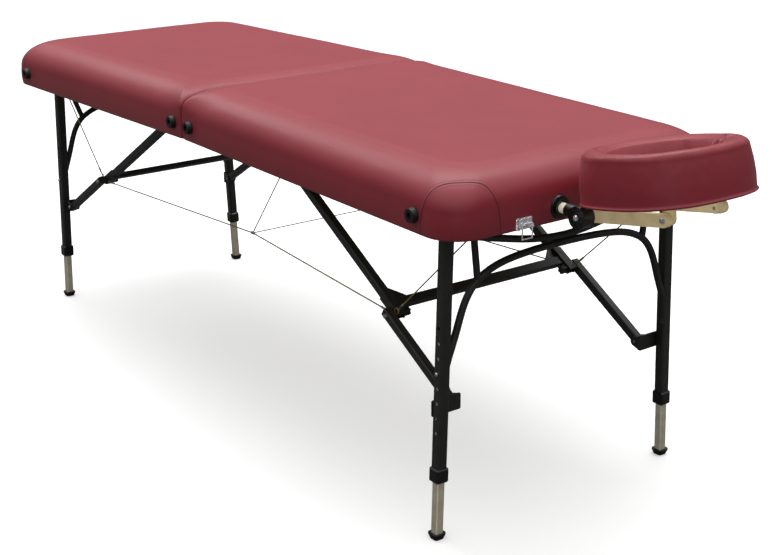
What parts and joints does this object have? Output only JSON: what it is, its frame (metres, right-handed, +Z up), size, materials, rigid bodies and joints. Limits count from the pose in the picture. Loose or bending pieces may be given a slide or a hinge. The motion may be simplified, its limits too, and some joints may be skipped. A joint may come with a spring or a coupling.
{
  "type": "portable massage table",
  "caption": "Folding padded massage table with telescopic splayed legs, folding braces, cable stays, a case latch and an adjustable ring-shaped face cradle.",
  "frame": {"origin": "on the floor, at the middle of the whole part's footprint; the centre fold line is 147.9 mm from it towards -X and the table's own centre line 2.85 mm towards -Y", "axes": "+X towards the face cradle, +Y towards the side with the carry handles, +Z up"},
  "size_m": [2.168, 0.6978, 0.7757],
  "materials": {
    "black_coat": "black powder coat",
    "black_plastic": "moulded black plastic",
    "black_rubber": "matt black rubber",
    "brass_cable": "coated wire rope",
    "button_steel": "bright steel",
    "champagne": "champagne anodised coat",
    "chrome": "bright plated",
    "cushion": "satin burgundy grained vinyl over foam",
    "foam": "open-cell foam",
    "hardwood": "sealed hardwood",
    "ivory_rod": "ivory coated rod",
    "plywood": "birch plywood",
    "tan_plastic": "tan moulded plastic",
    "vinyl": "satin burgundy grained vinyl",
    "webbing": "black webbing",
    "zinc": "zinc plated"
  },
  "bodies": {
    "head_half": {"head_vinyl_cover": "vinyl", "head_foam_pad": "foam", "head_deck_panel": "plywood", "head_wood_frame": "hardwood", "head_bumpers": "black_rubber", "head_bumper_screws": "zinc", "head_carry_handle": "webbing", "head_pivot_brackets": "black_coat", "head_pivot_bolts": "zinc", "head_hinge_leaves": "zinc", "head_end_cables": "brass_cable", "latch_base": "chrome", "cradle_sockets": "black_plastic", "long_support_cables": "brass_cable"},
    "foot_half": {"foot_vinyl_cover": "vinyl", "foot_foam_pad": "foam", "foot_deck_panel": "plywood", "foot_wood_frame": "hardwood", "foot_bumpers": "black_rubber", "foot_bumper_screws": "zinc", "foot_carry_handle": "webbing", "foot_pivot_brackets": "black_coat", "foot_pivot_bolts": "zinc", "foot_hinge_leaves": "zinc", "foot_end_cables": "brass_cable", "latch_keeper": "chrome"},
    "head_legs": {"head_leg_frame": "black_coat", "head_leg_collars": "black_plastic", "head_brace_brackets": "black_coat"},
    "head_near_inner_leg_slide": {"head_near_inner_leg": "champagne", "head_near_foot_cap": "black_rubber"},
    "head_near_button": {"head_near_snap_button": "button_steel"},
    "head_far_inner_leg_slide": {"head_far_inner_leg": "champagne", "head_far_foot_cap": "black_rubber"},
    "head_far_button": {"head_far_snap_button": "button_steel"},
    "head_upper_brace_set": {"head_upper_brace": "black_coat", "head_knee_knobs": "black_plastic"},
    "head_lower_brace_set": {"head_lower_braces": "black_coat", "head_lower_brace_bolts": "zinc"},
    "foot_legs": {"foot_leg_frame": "black_coat", "foot_leg_collars": "black_plastic", "foot_brace_brackets": "black_coat"},
    "foot_near_inner_leg_slide": {"foot_near_inner_leg": "champagne", "foot_near_foot_cap": "black_rubber"},
    "foot_near_button": {"foot_near_snap_button": "button_steel"},
    "foot_far_inner_leg_slide": {"foot_far_inner_leg": "champagne", "foot_far_foot_cap": "black_rubber"},
    "foot_far_button": {"foot_far_snap_button": "button_steel"},
    "foot_upper_brace_set": {"foot_upper_brace": "black_coat", "foot_knee_knobs": "black_plastic"},
    "foot_lower_brace_set": {"foot_lower_braces": "black_coat", "foot_lower_brace_bolts": "zinc"},
    "latch_lever_body": {"latch_lever": "chrome"},
    "latch_bail_body": {"latch_bail": "chrome"},
    "cradle_post_set": {"cradle_posts": "ivory_rod", "cradle_pivot_housings": "black_plastic"},
    "cradle_arm_set": {"cradle_arms": "tan_plastic", "cradle_pivot_bolts": "chrome"},
    "face_rest": {"cradle_platform": "tan_plastic", "face_cushion": "cushion"}
  },
  "joints": [
    {"name": "centre_fold", "type": "hinge", "parent": "head_half", "child": "foot_half", "pos_m": [-0.14794, -0.00285, 0.6074], "axis": [0, -1, 0], "range_deg": [0, 178.36], "deforming": ["long_support_cables", "head_end_cables", "foot_end_cables"]},
    {"name": "head_leg_fold", "type": "hinge", "parent": "head_half", "child": "head_legs", "pos_m": [0.69821, -0.00285, 0.61376], "axis": [0, 1, 0], "range_deg": [0, 90.83]},
    {"name": "head_upper_brace_fold", "type": "hinge", "parent": "head_half", "child": "head_upper_brace_set", "pos_m": [0.01559, -0.00285, 0.64556], "axis": [0, -1, 0], "range_deg": [0, 30.67]},
    {"name": "head_lower_brace_fold", "type": "hinge", "parent": "head_legs", "child": "head_lower_brace_set", "pos_m": [0.67121, -0.00285, 0.25776], "axis": [0, 1, 0], "range_deg": [0, 58.53]},
    {"name": "head_near_leg_height", "type": "slide", "parent": "head_legs", "child": "head_near_inner_leg_slide", "axis": [0, 0.0356, 0.9994], "range_m": [-0.11567, 0.08675], "stiffness_N_per_m": 30000, "springref_m": -0.0013},
    {"name": "head_near_button_press", "type": "slide", "parent": "head_legs", "child": "head_near_button", "axis": [0, 1, 0], "range_m": [0, 0.004], "stiffness_N_per_m": 100, "springref_m": -0.003},
    {"name": "head_far_leg_height", "type": "slide", "parent": "head_legs", "child": "head_far_inner_leg_slide", "axis": [0, -0.0356, 0.9994], "range_m": [-0.11567, 0.08675], "stiffness_N_per_m": 30000, "springref_m": -0.0013},
    {"name": "head_far_button_press", "type": "slide", "parent": "head_legs", "child": "head_far_button", "axis": [0, -1, 0], "range_m": [0, 0.004], "stiffness_N_per_m": 100, "springref_m": -0.003},
    {"name": "foot_leg_fold", "type": "hinge", "parent": "foot_half", "child": "foot_legs", "pos_m": [-0.99408, -0.00285, 0.61376], "axis": [0, -1, 0], "range_deg": [0, 90.83]},
    {"name": "foot_upper_brace_fold", "type": "hinge", "parent": "foot_half", "child": "foot_upper_brace_set", "pos_m": [-0.31147, -0.00285, 0.64556], "axis": [0, 1, 0], "range_deg": [0, 30.67]},
    {"name": "foot_lower_brace_fold", "type": "hinge", "parent": "foot_legs", "child": "foot_lower_brace_set", "pos_m": [-0.96708, -0.00285, 0.25776], "axis": [0, -1, 0], "range_deg": [0, 58.53]},
    {"name": "foot_near_leg_height", "type": "slide", "parent": "foot_legs", "child": "foot_near_inner_leg_slide", "axis": [0, 0.0356, 0.9994], "range_m": [-0.11567, 0.08675], "stiffness_N_per_m": 30000, "springref_m": -0.0013},
    {"name": "foot_near_button_press", "type": "slide", "parent": "foot_legs", "child": "foot_near_button", "axis": [0, 1, 0], "range_m": [0, 0.004], "stiffness_N_per_m": 100, "springref_m": -0.003},
    {"name": "foot_far_leg_height", "type": "slide", "parent": "foot_legs", "child": "foot_far_inner_leg_slide", "axis": [0, -0.0356, 0.9994], "range_m": [-0.11567, 0.08675], "stiffness_N_per_m": 30000, "springref_m": -0.0013},
    {"name": "foot_far_button_press", "type": "slide", "parent": "foot_legs", "child": "foot_far_button", "axis": [0, -1, 0], "range_m": [0, 0.004], "stiffness_N_per_m": 100, "springref_m": -0.003},
    {"name": "latch_lever_swing", "type": "hinge", "parent": "head_half", "child": "latch_lever_body", "pos_m": [0.78505, -0.17285, 0.60252], "axis": [0, 1, 0], "range_deg": [0, 65], "stiffness_Nm_per_rad": 0.1},
    {"name": "latch_bail_swing", "type": "hinge", "parent": "latch_lever_body", "child": "latch_bail_body", "pos_m": [0.79015, -0.17285, 0.60944], "axis": [0, -1, 0], "range_deg": [0, 60], "stiffness_Nm_per_rad": 0.03},
    {"name": "cradle_slide", "type": "slide", "parent": "head_half", "child": "cradle_post_set", "axis": [0.9999, 0, -0.0143], "range_m": [0, 0.09], "stiffness_N_per_m": 6000},
    {"name": "cradle_arm_tilt", "type": "hinge", "parent": "cradle_post_set", "child": "cradle_arm_set", "pos_m": [0.83728, -0.00285, 0.61777], "axis": [0, -1, 0], "range_deg": [-25, 15], "stiffness_Nm_per_rad": 120, "springref_deg": 1.15},
    {"name": "face_rest_tilt", "type": "hinge", "parent": "cradle_arm_set", "child": "face_rest", "pos_m": [1.01257, -0.00285, 0.64868], "axis": [0, 1, 0], "range_deg": [0, 25], "stiffness_Nm_per_rad": 60}
  ],
  "couplings": [
    {"joint": "head_leg_fold", "follows": "centre_fold", "ratio": 0.50922},
    {"joint": "head_upper_brace_fold", "follows": "centre_fold", "ratio": 0.17189},
    {"joint": "head_lower_brace_fold", "follows": "centre_fold", "ratio": 0.32811},
    {"joint": "foot_leg_fold", "follows": "centre_fold", "ratio": 0.50922},
    {"joint": "foot_upper_brace_fold", "follows": "centre_fold", "ratio": 0.17189},
    {"joint": "foot_lower_brace_fold", "follows": "centre_fold", "ratio": 0.32811}
  ]
}
